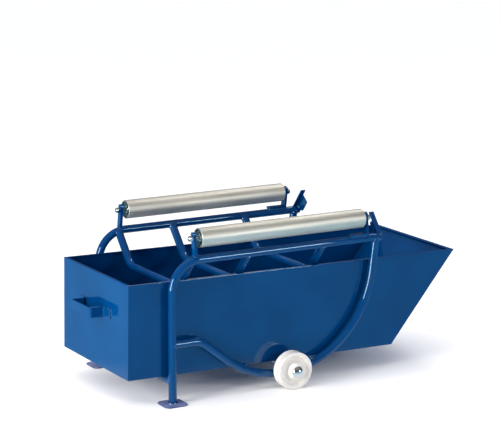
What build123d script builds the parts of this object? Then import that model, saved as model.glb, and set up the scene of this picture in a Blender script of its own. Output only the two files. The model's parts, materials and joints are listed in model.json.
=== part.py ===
"""Drum dispensing cradle: a welded tube frame with two drum rollers, two wheels and a pull-out drip tray.

Millimetres, +Z up, the floor at Z = 0, the tray's handle towards -X, the near side towards -Y.
While the pieces are built, X is measured from the front legs. The export moves every piece so that
the origin lies on the floor under the middle of the whole cradle.
"""
import os
from math import asin, cos, radians, sin, tan

from build123d import *

# Frame tubes: 26.9 mm steel tube, one side frame each side of the tray
TUBE_R = 26.9 / 2
TUBE_WALL = 2.6
FRAME_Y = 263.0
RAIL_Z = 466.0
RAIL_END = 794.0
LEG_BEND_R = 100.0

# Rocker: a stub behind the leg, a slope, one large arc and a leaning run up to the rail
STUB_Z = 196.5
STUB_BEND_R = 80.0
ROCKER_X = 413.0
ROCKER_BOTTOM = 47.0
ROCKER_R = 351.0
ROCKER_SLOPE = 38.3
ROCKER_LEAN = 7.0

# Dipped cross tubes between the rails
CROSS_X = {"front": 74.0, "middle": 282.0, "rear": 569.0}
CROSS_DIP_Z = 359.0
CROSS_DIP_Y = 170.0
CROSS_BEND_R = 60.0

# Foot plates
FOOT_SIZE = 80.0
FOOT_CUT = 11.0
FOOT_T = 5.0

# Drip tray: folded sheet, lying with a slight fall to the rear on two cross bars
SHEET = 2.0
TRAY_TILT = 0.93
TRAY_BOTTOM = 89.6
TRAY_FRONT = -147.0
TRAY_REAR_BOTTOM = 862.5
TRAY_REAR_TOP = 1112.5
TRAY_HALF = 238.0
TRAY_H = 310.0
RIM = 10.0
REAR_RIM = 16.0
FOLD_R = 2.5
REST_GAP = 0.3
REAR_BAR_X = 527.0

# Tray handle: flat bar, its two feet welded to the front wall
HANDLE_LENGTH = 142.0
HANDLE_REACH = 52.0
HANDLE_FOOT = 40.0
HANDLE_BAR = 4.0
HANDLE_H = 33.0
HANDLE_Z = 191.0
HANDLE_BEND_R = 6.0

# Wheels on one axle that is let into the top of both rockers
WHEEL_R = 62.5
WHEEL_W = 40.0
WHEEL_X = 429.5
WHEEL_HUB_R = 23.0
WHEEL_HUB_FOOT_R = 29.0
WHEEL_HUB_OUT = 12.0
WHEEL_RIM_IN_R = 51.0
WHEEL_RIM_FOOT_R = 47.0
WHEEL_WEB = 18.0
WHEEL_EDGE_R = 1.5
WHEEL_SOFT_R = 4.0
AXLE_R = 10.0
RUN_GAP = 0.1
WASHER_R = 18.0
WASHER_T = 2.5
SIDE_PLAY = 0.3
CAP_R = 19.5
CAP_FLANGE = 2.0
CAP_H = 13.0
CAP_SHEET = 1.5
AXLE_GRIP = 7.0

# Drum rollers: plated tube on two ball bearings, on a fixed axle between two lugs
ROLLER_Y = 258.0
ROLLER_Z = 536.0
ROLLER_FRONT = 98.0
ROLLER_REAR = 719.0
ROLLER_R = 63.5 / 2
ROLLER_WALL = 2.0
ROLLER_EDGE_R = 0.8
HOUSING_SET_BACK = 1.5
HOUSING_DEPTH = 16.0
HOUSING_LIP = 4.0
BEARING_R = 14.0
BEARING_W = 8.0
BEARING_SET_BACK = 3.0
ROLLER_AXLE_R = 6.0
BEARING_GAP = 0.05
FRONT_LUG_X, FRONT_LUG_W, FRONT_LUG_T = 77.0, 20.0, 10.0
REAR_LUG_X, REAR_LUG_W, REAR_LUG_T = 730.0, 25.0, 8.0
LUG_LEAN = 9.0
LUG_TOP = 20.0
LUG_CORNER_R = 8.0
LUG_FOOT = 59.0
LUG_SINK = 1.5
HOLE_GAP = 0.1
NUT_ACROSS = 18.0
NUT_T = 10.0
DOME_T = 6.0
DOME_R = 8.5
DOME_EDGE_R = 3.5

# Drum stops: leaning angle pieces at the rear end of the rails
STOP_X = 794.0
STOP_LEAN = 38.8
STOP_LENGTH = 88.5
STOP_WEB = 40.0
STOP_WEB_LENGTH = 66.0
STOP_FLANGE = 18.0
STOP_T = 4.0
STOP_OUT = 14.4
STOP_START = 4.0

# Rail end caps
END_CAP_T = 1.5
END_CAP_STEM = 12.0

tilt = radians(TRAY_TILT)
tray_place = Pos(0, 0, TRAY_BOTTOM) * Rot(0, TRAY_TILT, 0)
middle_plane = Plane.XZ
parts = {}
groups = {}


def round_bar(points, radius, bends=None):
    """A solid round bar along straight runs joined by tangent bends."""
    path = FilletPolyline(*points, radius=bends) if bends else Line(*points)
    section = Plane(origin=path @ 0, z_dir=path % 0) * Circle(radius)
    return sweep(section, path)


def hollow(points, bends=None):
    """A length of frame tube."""
    return round_bar(points, TUBE_R, bends) - round_bar(points, TUBE_R - TUBE_WALL, bends)


def cylinder_x(radius, start, end):
    """A round solid along X, on the X axis."""
    return Pos((start + end) / 2, 0, 0) * Rot(0, 90, 0) * Cylinder(radius, end - start)


def cylinder_y(radius, start, end):
    """A round solid along Y, on the Y axis."""
    return Pos(0, (start + end) / 2, 0) * Rot(90, 0, 0) * Cylinder(radius, end - start)


def box_between(low, high):
    """A block from its lowest to its highest corner."""
    size = [b - a for a, b in zip(low, high)]
    return Pos(*low) * Box(*size, align=Align.MIN)


def both_sides(name, piece):
    """Stores a near-side piece and its mirror image on the far side."""
    parts[f"near_{name}"] = piece
    parts[f"far_{name}"] = mirror(piece, about=middle_plane)


def group_both_sides(name, pieces):
    """Stores identical small pieces of both sides as one group of separate solids."""
    groups[name] = [*pieces, *(mirror(piece, about=middle_plane) for piece in pieces)]


# Side tubes: leg and rail bent from one tube, standing on the foot plates
side_route = [(0, -FRAME_Y, FOOT_T), (0, -FRAME_Y, RAIL_Z), (RAIL_END, -FRAME_Y, RAIL_Z)]
near_side_outer = round_bar(side_route, TUBE_R, LEG_BEND_R)
far_side_outer = mirror(near_side_outer, about=middle_plane)
both_sides("side_tube", hollow(side_route, LEG_BEND_R))

# Foot plates with cut corners
foot = extrude(chamfer(Rectangle(FOOT_SIZE, FOOT_SIZE).vertices(), FOOT_CUT), FOOT_T)
both_sides("foot_plate", Pos(0, -FRAME_Y, 0) * foot)

# Wheel axle across both rockers
washer_in = FRAME_Y + TUBE_R
wheel_in = washer_in + WASHER_T + SIDE_PLAY
wheel_out = wheel_in + WHEEL_W + WHEEL_HUB_OUT
cap_in = wheel_out + SIDE_PLAY
axle_end = cap_in + AXLE_GRIP
axle = Pos(WHEEL_X, 0, WHEEL_R) * cylinder_y(AXLE_R, -axle_end, axle_end)
parts["wheel_axle"] = axle

# Rocker tubes, coped to the leg and the rail and notched for the axle
slope, lean = radians(ROCKER_SLOPE), radians(ROCKER_LEAN)
arc_z = ROCKER_BOTTOM + ROCKER_R
slope_x = ROCKER_X - ROCKER_R * sin(slope)
slope_z = arc_z - ROCKER_R * cos(slope)
stub_corner_x = slope_x - (STUB_Z - slope_z) / tan(slope)
half_turn = radians(90 - ROCKER_LEAN + ROCKER_SLOPE) / 2
middle_turn = radians(90 - ROCKER_LEAN - ROCKER_SLOPE) / 2
reach = ROCKER_R / cos(half_turn)
rocker_corner = (ROCKER_X + reach * sin(middle_turn), arc_z - reach * cos(middle_turn))
rocker_top_x = ROCKER_X + ROCKER_R * cos(lean) + (RAIL_Z - arc_z + ROCKER_R * sin(lean)) * tan(lean)
rocker_route = [
    (0, -FRAME_Y, STUB_Z),
    (stub_corner_x, -FRAME_Y, STUB_Z),
    (rocker_corner[0], -FRAME_Y, rocker_corner[1]),
    (rocker_top_x, -FRAME_Y, RAIL_Z),
]
rocker_bends = [STUB_BEND_R, ROCKER_R]
near_rocker_outer = round_bar(rocker_route, TUBE_R, rocker_bends)
far_rocker_outer = mirror(near_rocker_outer, about=middle_plane)
both_sides("rocker_tube", hollow(rocker_route, rocker_bends) - near_side_outer - axle)

# Dipped cross tubes, coped to both rails
for place, x in CROSS_X.items():
    route = [
        (x, -FRAME_Y, RAIL_Z),
        (x, -CROSS_DIP_Y, CROSS_DIP_Z),
        (x, CROSS_DIP_Y, CROSS_DIP_Z),
        (x, FRAME_Y, RAIL_Z),
    ]
    parts[f"{place}_cross_tube"] = hollow(route, CROSS_BEND_R) - near_side_outer - far_side_outer

# Bars that carry the tray: one between the legs, one between the rockers
bar_drop = (TUBE_R + REST_GAP) / cos(tilt)
front_bar_z = TRAY_BOTTOM - bar_drop
rear_bar_z = TRAY_BOTTOM - REAR_BAR_X * tan(tilt) - bar_drop
front_bar = hollow([(0, -FRAME_Y, front_bar_z), (0, FRAME_Y, front_bar_z)])
rear_bar = hollow([(REAR_BAR_X, -FRAME_Y, rear_bar_z), (REAR_BAR_X, FRAME_Y, rear_bar_z)])
parts["front_tray_bar"] = front_bar - near_side_outer - far_side_outer
parts["rear_tray_bar"] = rear_bar - near_rocker_outer - far_rocker_outer

# Roller lugs: flat bars that lean inwards, saddled on the rail
lug_length = ROLLER_Z - RAIL_Z - TUBE_R / 2


def lug(x, width, thickness):
    """A flat bar with a round head and a hole for the roller's axle."""
    face = Rectangle(width, lug_length + LUG_TOP, align=(Align.CENTER, Align.MAX))
    face = Pos(0, LUG_TOP) * fillet(face.vertices().group_by(Axis.Y)[-1], LUG_CORNER_R)
    bar = extrude(Plane.YZ * (face - Circle(ROLLER_AXLE_R + HOLE_GAP)), thickness)
    return Pos(x, -ROLLER_Y, ROLLER_Z) * Rot(-LUG_LEAN, 0, 0) * bar


front_lug = lug(FRONT_LUG_X, FRONT_LUG_W, FRONT_LUG_T)
rear_lug = lug(REAR_LUG_X, REAR_LUG_W, REAR_LUG_T)
lug_foot_y = -ROLLER_Y - (ROLLER_Z - RAIL_Z - TUBE_R) * tan(radians(LUG_LEAN))
lug_foot_z = RAIL_Z + TUBE_R - LUG_SINK
lug_foot = box_between(
    (REAR_LUG_X - LUG_FOOT, lug_foot_y - REAR_LUG_W / 2, lug_foot_z),
    (REAR_LUG_X, lug_foot_y + REAR_LUG_W / 2, lug_foot_z + REAR_LUG_T),
)
both_sides("front_lug", front_lug - near_side_outer - parts["front_cross_tube"])
both_sides("rear_lug", rear_lug + lug_foot - near_side_outer)

# Drum stops: a web across the rail and a longer flange folded forward along its outer edge
stop_web = box_between((-STOP_T, -STOP_OUT, STOP_START), (0, STOP_WEB - STOP_OUT, STOP_WEB_LENGTH))
stop_flange = box_between((-STOP_FLANGE, -STOP_OUT, STOP_START), (0, STOP_T - STOP_OUT, STOP_LENGTH))
stop = Pos(STOP_X, -FRAME_Y, RAIL_Z) * Rot(-STOP_LEAN, 0, 0) * (stop_web + stop_flange)
stop = split(stop, Plane.XY.offset(RAIL_Z), keep=Keep.TOP)
both_sides("drum_stop", stop - near_side_outer)

# Caps that close the rear ends of the rails
end_cap = cylinder_x(TUBE_R, 0, END_CAP_T) + cylinder_x(TUBE_R - TUBE_WALL, -END_CAP_STEM, 0)
group_both_sides("rail_end_caps", [Pos(RAIL_END, -FRAME_Y, RAIL_Z) * end_cap])

# Wheels: rim, web and hub in one moulding, turned about the axle, with a longer hub on the outside
web_half, rim_half = WHEEL_WEB / 2, WHEEL_W / 2
bore = AXLE_R + RUN_GAP
wheel_outline = Polyline(
    (bore, rim_half),
    (WHEEL_HUB_R, rim_half),
    (WHEEL_HUB_FOOT_R, web_half),
    (WHEEL_RIM_FOOT_R, web_half),
    (WHEEL_RIM_IN_R, rim_half),
    (WHEEL_R, rim_half),
    (WHEEL_R, -rim_half),
    (WHEEL_RIM_IN_R, -rim_half),
    (WHEEL_RIM_FOOT_R, -web_half),
    (WHEEL_HUB_FOOT_R, -web_half),
    (WHEEL_HUB_R, -rim_half - WHEEL_HUB_OUT),
    (bore, -rim_half - WHEEL_HUB_OUT),
    close=True,
)
wheel_face = make_face(wheel_outline)
wheel_face = fillet(wheel_face.vertices().group_by(Axis.X)[-1], WHEEL_EDGE_R)
corners = [v for v in wheel_face.vertices() if WHEEL_HUB_R < v.X < WHEEL_RIM_IN_R]
wheel_face = fillet(corners, WHEEL_SOFT_R)
wheel = revolve(wheel_face, Axis.Y)
both_sides("wheel", Pos(WHEEL_X, -wheel_in - WHEEL_W / 2, WHEEL_R) * wheel)

# Washers between rockers and wheels
washer = cylinder_y(WASHER_R, -washer_in - WASHER_T, -washer_in) - cylinder_y(AXLE_R, -wheel_in, 0)
group_both_sides("wheel_washers", [Pos(WHEEL_X, 0, WHEEL_R) * washer])

# Push-on caps on the axle ends: a gripping ring under a pressed dome, turned in one piece
dome_foot_y = -cap_in - CAP_FLANGE
dome_top_y = -cap_in - CAP_H


def dome_arc(foot_r, top_y):
    """Half of a spherical dome's outline, from its foot to its top on the axis."""
    height = dome_foot_y - top_y
    ball_r = (foot_r**2 + height**2) / (2 * height)
    half_opening = asin(foot_r / ball_r) / 2
    half_way = (ball_r * sin(half_opening), top_y + ball_r * (1 - cos(half_opening)))
    return ThreePointArc((foot_r, dome_foot_y), half_way, (0, top_y))


dome_foot_r = CAP_R - CAP_SHEET / 2
cap_outline = [
    dome_arc(dome_foot_r, dome_top_y),
    Line((0, dome_top_y), (0, dome_top_y + CAP_SHEET)),
    dome_arc(dome_foot_r - CAP_SHEET, dome_top_y + CAP_SHEET),
    Polyline(
        (dome_foot_r - CAP_SHEET, dome_foot_y),
        (AXLE_R, dome_foot_y),
        (AXLE_R, -cap_in),
        (CAP_R, -cap_in),
        (CAP_R, dome_foot_y),
        (dome_foot_r, dome_foot_y),
    ),
]
cap = revolve(make_face(Curve() + cap_outline), Axis.Y)
group_both_sides("axle_caps", [Pos(WHEEL_X, 0, WHEEL_R) * cap])

# Roller tubes, open at both ends
roller_place = Pos(0, -ROLLER_Y, ROLLER_Z)
shell = cylinder_x(ROLLER_R, ROLLER_FRONT, ROLLER_REAR)
shell = fillet(shell.edges().filter_by(GeomType.CIRCLE), ROLLER_EDGE_R)
shell = shell - cylinder_x(ROLLER_R - ROLLER_WALL, ROLLER_FRONT, ROLLER_REAR)
both_sides("roller_tube", roller_place * shell)

# Pressed housings and ball bearings in the roller ends
housings, bearings = [], []
housing_faces = (ROLLER_FRONT + HOUSING_SET_BACK, ROLLER_REAR - HOUSING_SET_BACK)
for start, inward in zip(housing_faces, (1, -1)):
    back = start + inward * HOUSING_DEPTH
    seat = start + inward * BEARING_SET_BACK
    seat_end = seat + inward * BEARING_W
    housing = cylinder_x(ROLLER_R - ROLLER_WALL, *sorted((start, back)))
    housing = housing - cylinder_x(BEARING_R, *sorted((start, seat_end)))
    housing = housing - cylinder_x(BEARING_R - HOUSING_LIP, *sorted((seat_end, back)))
    housings.append(roller_place * housing)
    bearing = cylinder_x(BEARING_R, *sorted((seat, seat_end)))
    bearing = bearing - cylinder_x(ROLLER_AXLE_R + BEARING_GAP, *sorted((seat, seat_end)))
    bearings.append(roller_place * bearing)
for name, pieces in (("housings", housings), ("bearings", bearings)):
    groups[f"near_roller_{name}"] = pieces
    groups[f"far_roller_{name}"] = [mirror(piece, about=middle_plane) for piece in pieces]

# Roller axles, held in the lugs by a nut on each side of each lug
axle_reach = NUT_T - SIDE_PLAY
axle_ends = (FRONT_LUG_X - axle_reach, REAR_LUG_X + REAR_LUG_T + axle_reach)
roller_axle = roller_place * cylinder_x(ROLLER_AXLE_R, *axle_ends)
both_sides("roller_axle", roller_axle)
hexagon = RegularPolygon(NUT_ACROSS / 2, 6, major_radius=False)
nut = extrude(Plane.YZ * hexagon, NUT_T) - cylinder_x(ROLLER_AXLE_R + HOLE_GAP, 0, NUT_T)
inner_nut_x = (FRONT_LUG_X + FRONT_LUG_T, REAR_LUG_X - NUT_T)
inner_nuts = [roller_place * Pos(x, 0, 0) * nut for x in inner_nut_x]
group_both_sides("roller_lock_nuts", inner_nuts)
nut_dome = cylinder_x(DOME_R, 0, DOME_T)
nut_dome = fillet(nut_dome.edges().sort_by(Axis.X)[-1], DOME_EDGE_R)
cap_nut = nut + Pos(NUT_T, 0, 0) * nut_dome
rear_nut = roller_place * Pos(REAR_LUG_X + REAR_LUG_T, 0, 0) * cap_nut
front_nut = roller_place * Pos(FRONT_LUG_X, 0, 0) * Rot(0, 180, 0) * cap_nut
group_both_sides("roller_cap_nuts", [front_nut, rear_nut])

# Tray front wall: a sheet with its rim folded inwards
front_sheet = box_between((TRAY_FRONT, -TRAY_HALF, 0), (TRAY_FRONT + SHEET, TRAY_HALF, TRAY_H))
front_rim = box_between((TRAY_FRONT, -TRAY_HALF, TRAY_H - SHEET), (TRAY_FRONT + RIM, TRAY_HALF, TRAY_H))
front_block = front_sheet + front_rim
front_fold = front_block.edges().filter_by(Axis.Y).group_by(Axis.Z)[-1].sort_by(Axis.X)[0]
front_wall = fillet(front_fold, FOLD_R)

# Tray rear wall: sloping sheet, its rim folded forwards
rim_rear = TRAY_REAR_TOP - REAR_RIM
slope_run = (TRAY_REAR_TOP - TRAY_REAR_BOTTOM) / TRAY_H
sheet_run = SHEET * (1 + slope_run**2) ** 0.5
rear_outline = Polyline(
    (TRAY_REAR_BOTTOM, 0),
    (TRAY_REAR_TOP, TRAY_H),
    (rim_rear, TRAY_H),
    (rim_rear, TRAY_H - SHEET),
    (TRAY_REAR_TOP - SHEET * slope_run - sheet_run, TRAY_H - SHEET),
    (TRAY_REAR_BOTTOM - sheet_run, 0),
    close=True,
)
rear_wall = extrude(Plane.XZ * make_face(rear_outline), TRAY_HALF, both=True)

# Tray side walls and floor, fitted between the end walls
side_outline = Polyline(
    (TRAY_FRONT, 0),
    (TRAY_REAR_BOTTOM, 0),
    (TRAY_REAR_TOP, TRAY_H),
    (TRAY_FRONT, TRAY_H),
    close=True,
)
side_sheet = Pos(0, -TRAY_HALF, 0) * extrude(Plane.XZ * make_face(side_outline), -SHEET)
side_rim = box_between((TRAY_FRONT, -TRAY_HALF, TRAY_H - SHEET), (rim_rear, RIM - TRAY_HALF, TRAY_H))
side_wall = side_sheet + side_rim
side_fold = side_wall.edges().filter_by(Axis.X).group_by(Axis.Z)[-1].sort_by(Axis.Y)[0]
side_wall = fillet(side_fold, FOLD_R) - front_block - rear_wall
floor_half = TRAY_HALF - SHEET
tray_floor = box_between((TRAY_FRONT + SHEET, -floor_half, 0), (TRAY_REAR_BOTTOM, floor_half, SHEET))
tray_floor = tray_floor - rear_wall
parts["tray_floor"] = tray_place * tray_floor
parts["tray_front_wall"] = tray_place * front_wall
parts["tray_rear_wall"] = tray_place * rear_wall
parts["tray_near_wall"] = tray_place * side_wall
parts["tray_far_wall"] = mirror(parts["tray_near_wall"], about=middle_plane)

# Tray handle: flat bar bent to a bow, with its feet turned outwards
half_grip = HANDLE_LENGTH / 2
foot_face = TRAY_FRONT - HANDLE_BAR
grip_face = TRAY_FRONT - HANDLE_REACH
handle_line = FilletPolyline(
    (foot_face, -half_grip - HANDLE_FOOT),
    (foot_face, -half_grip),
    (grip_face, -half_grip),
    (grip_face, half_grip),
    (foot_face, half_grip),
    (foot_face, half_grip + HANDLE_FOOT),
    radius=HANDLE_BEND_R,
)
handle_inside = offset(handle_line, HANDLE_BAR, side=Side.RIGHT, closed=True)
handle = extrude(make_face(handle_inside), HANDLE_H)
parts["tray_handle"] = tray_place * Pos(0, 0, HANDLE_Z - HANDLE_H / 2) * handle

# Origin on the floor under the middle of the cradle
front_x = grip_face * cos(tilt) + (HANDLE_Z - HANDLE_H / 2) * sin(tilt)
rear_x = TRAY_REAR_TOP * cos(tilt) + TRAY_H * sin(tilt)
origin_x = (front_x + rear_x) / 2
to_origin = Pos(-origin_x, 0, 0)
for name, pieces in groups.items():
    parts[name] = Compound(children=[to_origin * piece for piece in pieces])
os.makedirs("parts", exist_ok=True)
for name, piece in parts.items():
    export_step(piece if name in groups else to_origin * piece, f"parts/{name}.step")
print(f"{len(parts)} nodes, origin {origin_x:.2f} mm behind the legs")
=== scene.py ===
# %% [markdown]
# # Dressing a drum dispensing cradle
# The cradle is a welded frame of blue tube with two long rollers on top, two white wheels below
# and a sheet steel tray that pulls out to the front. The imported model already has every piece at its
# real size and place, so this lesson adds what a camera sees: finishes, rounded edges, weld beads,
# turned wheels, nuts and caps, and the studio.

# %% Load the frame
import json
from math import atan2, cos, pi, radians, sin, sqrt, tan

import bmesh
import bpy
from mathutils import Matrix, Vector


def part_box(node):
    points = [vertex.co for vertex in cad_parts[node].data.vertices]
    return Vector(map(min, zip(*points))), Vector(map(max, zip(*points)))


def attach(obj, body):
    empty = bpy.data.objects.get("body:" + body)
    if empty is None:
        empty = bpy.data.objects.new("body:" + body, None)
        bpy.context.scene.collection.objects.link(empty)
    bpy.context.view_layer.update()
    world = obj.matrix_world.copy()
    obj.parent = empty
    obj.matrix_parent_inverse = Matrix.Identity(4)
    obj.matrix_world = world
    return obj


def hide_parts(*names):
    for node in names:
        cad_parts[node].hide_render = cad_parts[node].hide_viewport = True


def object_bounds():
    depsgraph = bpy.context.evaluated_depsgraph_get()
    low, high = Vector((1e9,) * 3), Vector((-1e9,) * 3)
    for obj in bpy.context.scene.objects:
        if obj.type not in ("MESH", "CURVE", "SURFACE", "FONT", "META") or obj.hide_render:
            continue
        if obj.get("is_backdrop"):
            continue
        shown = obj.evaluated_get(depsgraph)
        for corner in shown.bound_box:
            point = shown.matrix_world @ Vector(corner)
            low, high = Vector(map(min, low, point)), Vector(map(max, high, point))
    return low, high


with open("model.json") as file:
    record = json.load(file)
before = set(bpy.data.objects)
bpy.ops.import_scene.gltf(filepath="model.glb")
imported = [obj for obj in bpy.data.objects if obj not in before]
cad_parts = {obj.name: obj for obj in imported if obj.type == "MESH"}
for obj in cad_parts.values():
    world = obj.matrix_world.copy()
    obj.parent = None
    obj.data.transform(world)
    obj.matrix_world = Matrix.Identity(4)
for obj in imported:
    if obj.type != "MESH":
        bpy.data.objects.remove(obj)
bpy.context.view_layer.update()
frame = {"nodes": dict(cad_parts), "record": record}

nodes = frame["nodes"]

# %% [markdown]
# ## The camera
# A long lens looks at the front corner of the near side from a little above the tray. The place and the
# turn of the camera could be tried by eye, but here they come from a fit to the corners and edges of the
# tray and the side frames, so that every edge falls where the photograph has it.

# %% Camera
CAMERA_PLACE = Vector((-3.3509, -5.6948, 1.9045))
CAMERA_TURN = radians(30.316)
CAMERA_DOWN = radians(11.913)
CAMERA_ROLL = radians(0.148)
LENS_MM = 143.675
SENSOR_MM = 36.0

camera = bpy.data.objects.new("camera", bpy.data.cameras.new("camera"))
bpy.context.scene.collection.objects.link(camera)
camera_back = Vector((
    -sin(CAMERA_TURN) * cos(CAMERA_DOWN),
    -cos(CAMERA_TURN) * cos(CAMERA_DOWN),
    sin(CAMERA_DOWN),
))
camera_right = Vector((cos(CAMERA_TURN), -sin(CAMERA_TURN), 0))
camera_up = camera_back.cross(camera_right)
camera_axes = Matrix((camera_right, camera_up, camera_back)).transposed().to_4x4()
camera.matrix_world = (
    Matrix.Translation(CAMERA_PLACE) @ camera_axes @ Matrix.Rotation(CAMERA_ROLL, 4, "Z")
)
camera.data.lens = LENS_MM
camera.data.sensor_width = SENSOR_MM
bpy.context.scene.camera = camera
bpy.context.scene.view_settings.view_transform = "Standard"
print("camera at", [round(v, 2) for v in CAMERA_PLACE], "with a lens of", LENS_MM, "mm")

# %% [markdown]
# ## A small kit for finishes
# Every finish is made of the same few things: a pattern that varies over the surface, a ramp that turns
# it into a colour or a roughness, and a bump. Patterns could be painted pictures, but procedural noise in
# object space needs no unwrapping and stays sharp at any distance.

# %% Node helpers
PATTERN_LOW, PATTERN_HIGH = 0.3, 0.7


def colour_ramp(tree, pattern, stops):
    """Turns a pattern into colours, from stops that each have a position and a colour."""
    node = tree.nodes.new("ShaderNodeValToRGB")
    while len(node.color_ramp.elements) < len(stops):
        node.color_ramp.elements.new(1.0)
    for element, (position, colour) in zip(node.color_ramp.elements, stops):
        element.position = position
        element.color = (*colour, 1)
    tree.links.new(pattern, node.inputs["Fac"])
    return node.outputs["Color"]


def rise(tree, direction):
    """0 for a direction straight down, 0.5 for a level one and 1 for straight up."""
    split = tree.nodes.new("ShaderNodeSeparateXYZ")
    tree.links.new(direction, split.inputs["Vector"])
    level = tree.nodes.new("ShaderNodeMapRange")
    level.inputs["From Min"].default_value = -1.0
    tree.links.new(split.outputs["Z"], level.inputs["Value"])
    return level.outputs["Result"]


def from_screen(red, green, blue):
    """A linear colour from the 0 to 255 values that a screen shows, by the sRGB curve."""
    parts = [value / 255 for value in (red, green, blue)]
    return tuple(p / 12.92 if p <= 0.04045 else ((p + 0.055) / 1.055) ** 2.4 for p in parts)


print("mid grey on a screen is", round(from_screen(128, 128, 128)[0], 3), "in linear light")

# %% [markdown]
# ## One object for each finish
# The steps above could be written out for every material. A class keeps a material together with its shader,
# so that each finish below reads as a short recipe: a colour, a roughness and a bump, each with its pattern.


# %% Finish
class Finish:
    """A material with its shader and the few nodes that most finishes need."""

    def __init__(self, name):
        self.material = bpy.data.materials.new(name)
        self.material.use_nodes = True
        self.tree = self.material.node_tree
        self.shader = self.tree.nodes["Principled BSDF"]
        self.place = self.tree.nodes.new("ShaderNodeTexCoord").outputs["Object"]

    def link(self, output, node, socket):
        self.tree.links.new(output, node.inputs[socket])

    def stretched(self, factors):
        """The place on the piece, multiplied by a factor along each axis."""
        mapping = self.tree.nodes.new("ShaderNodeMapping")
        mapping.inputs["Scale"].default_value = factors
        self.link(self.place, mapping, "Vector")
        return mapping.outputs["Vector"]

    def noise(self, scale, detail=2.0, stretch=(1, 1, 1)):
        """A cloudy pattern, which a larger scale makes finer."""
        texture = self.tree.nodes.new("ShaderNodeTexNoise")
        texture.inputs["Scale"].default_value = scale
        texture.inputs["Detail"].default_value = detail
        self.link(self.stretched(stretch), texture, "Vector")
        return texture.outputs["Fac"]

    def oval(self, reach):
        """1 in the middle of the piece, falling to 0 at the reach along each axis."""
        gradient = self.tree.nodes.new("ShaderNodeTexGradient")
        gradient.gradient_type = "SPHERICAL"
        self.link(self.stretched([1 / length for length in reach]), gradient, "Vector")
        return gradient.outputs["Fac"]

    def upward(self, patches):
        """0 on faces that look down, half the patches on upright ones and the patches on level ones."""
        normal = self.tree.nodes.new("ShaderNodeNewGeometry").outputs["Normal"]
        product = self.tree.nodes.new("ShaderNodeMath")
        product.operation = "MULTIPLY"
        self.link(rise(self.tree, normal), product, 0)
        self.link(patches, product, 1)
        return product.outputs["Value"]

    def ramp(self, pattern, *stops):
        return colour_ramp(self.tree, pattern, stops)

    def spread(self, pattern, low, high):
        """A value that goes from low to high over the part of the range where most of a pattern lies."""
        node = self.tree.nodes.new("ShaderNodeMapRange")
        node.inputs["From Min"].default_value = PATTERN_LOW
        node.inputs["From Max"].default_value = PATTERN_HIGH
        node.inputs["To Min"].default_value = low
        node.inputs["To Max"].default_value = high
        self.link(pattern, node, "Value")
        return node.outputs["Result"]

    def bump(self, pattern, height, strength):
        """A fine relief, with its height in metres."""
        node = self.tree.nodes.new("ShaderNodeBump")
        node.inputs["Strength"].default_value = strength
        node.inputs["Distance"].default_value = height
        self.link(pattern, node, "Height")
        self.link(node.outputs["Normal"], self.shader, "Normal")

    def colour(self, output):
        self.link(output, self.shader, "Base Color")

    def roughness(self, output):
        self.link(output, self.shader, "Roughness")

    def set(self, **values):
        """Sets sockets of the shader that are the same all over."""
        for socket, value in values.items():
            self.shader.inputs[socket.replace("_", " ")].default_value = value


print("a pattern spreads between", PATTERN_LOW, "and", PATTERN_HIGH)

# %% [markdown]
# ## Blue enamel
# Frame and tray are sprayed with the same gloss enamel. Sprayed paint is nearly a mirror, with a slight
# orange peel and slow changes in depth of colour where the coat is thicker. A flat blue would look like
# plastic, so noise shifts the colour a little and a fine bump breaks up the reflections, which the lacquer
# tints with blue. Weld beads are less smooth and glint more. The foot plates are painted paler on top,
# partly for dust and partly as a painted sheen of the light that falls on them.

# %% Enamel
ENAMEL_DEEP = from_screen(0, 54, 104)
ENAMEL_BRIGHT = from_screen(0, 62, 114)
ENAMEL_GLOSS = (0.6, 0.88, 1.0, 1)
# Paler colour for the tops of the foot plates: partly dust, partly a painted sheen.
DUST_AND_SHEEN = from_screen(122, 128, 170)


def enamel(name, rough=(0.03, 0.07), ior=1.58):
    finish = Finish(name)
    finish.colour(finish.ramp(finish.noise(scale=5.0), (0.35, ENAMEL_DEEP), (0.65, ENAMEL_BRIGHT)))
    finish.roughness(finish.spread(finish.noise(scale=40.0), *rough))
    finish.bump(finish.noise(scale=120.0, detail=1.0), height=0.00003, strength=0.1)
    finish.set(IOR=ior, Specular_Tint=ENAMEL_GLOSS)
    return finish.material


def dust_and_sheen(name):
    """Enamel paler on the faces that look up: partly dust, partly a painted sheen of the light from above.
    """
    finish = Finish(name)
    patches = finish.spread(finish.noise(scale=45.0, detail=3.0), low=0.8, high=1.0)
    finish.colour(finish.ramp(finish.upward(patches), (0.45, ENAMEL_DEEP), (0.95, DUST_AND_SHEEN)))
    finish.roughness(finish.spread(finish.noise(scale=60.0, detail=3.0), low=0.25, high=0.45))
    finish.bump(finish.noise(scale=500.0), height=0.00004, strength=0.3)
    return finish.material


frame_enamel = enamel("frame_enamel")
tray_enamel = enamel("tray_enamel")
weld_enamel = enamel("weld_enamel", rough=(0.15, 0.25), ior=2.3)
dust_and_sheen_enamel = dust_and_sheen("dust_and_sheen_enamel")
print("enamel from", [round(c, 3) for c in ENAMEL_DEEP], "to", [round(c, 3) for c in ENAMEL_BRIGHT])

# %% [markdown]
# ## Bare metals and plastics
# The rollers are zinc plated, which gives a satin silver with a yellowish cast and streaks along the drawn
# tube. Nuts and axles are brighter zinc, the pressed bearing housings are dark, the axle caps are chrome.
# The wheels are cream white polyamide with a satin skin, and the rail ends have black plastic plugs. Each
# could have nodes of its own, but the metals differ only in colour, streaks and roughness, so one recipe
# makes them all, and another makes the two mouldings.

# %% Metals and plastics
ZINC_STRETCH = (0.05, 1, 1)


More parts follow.
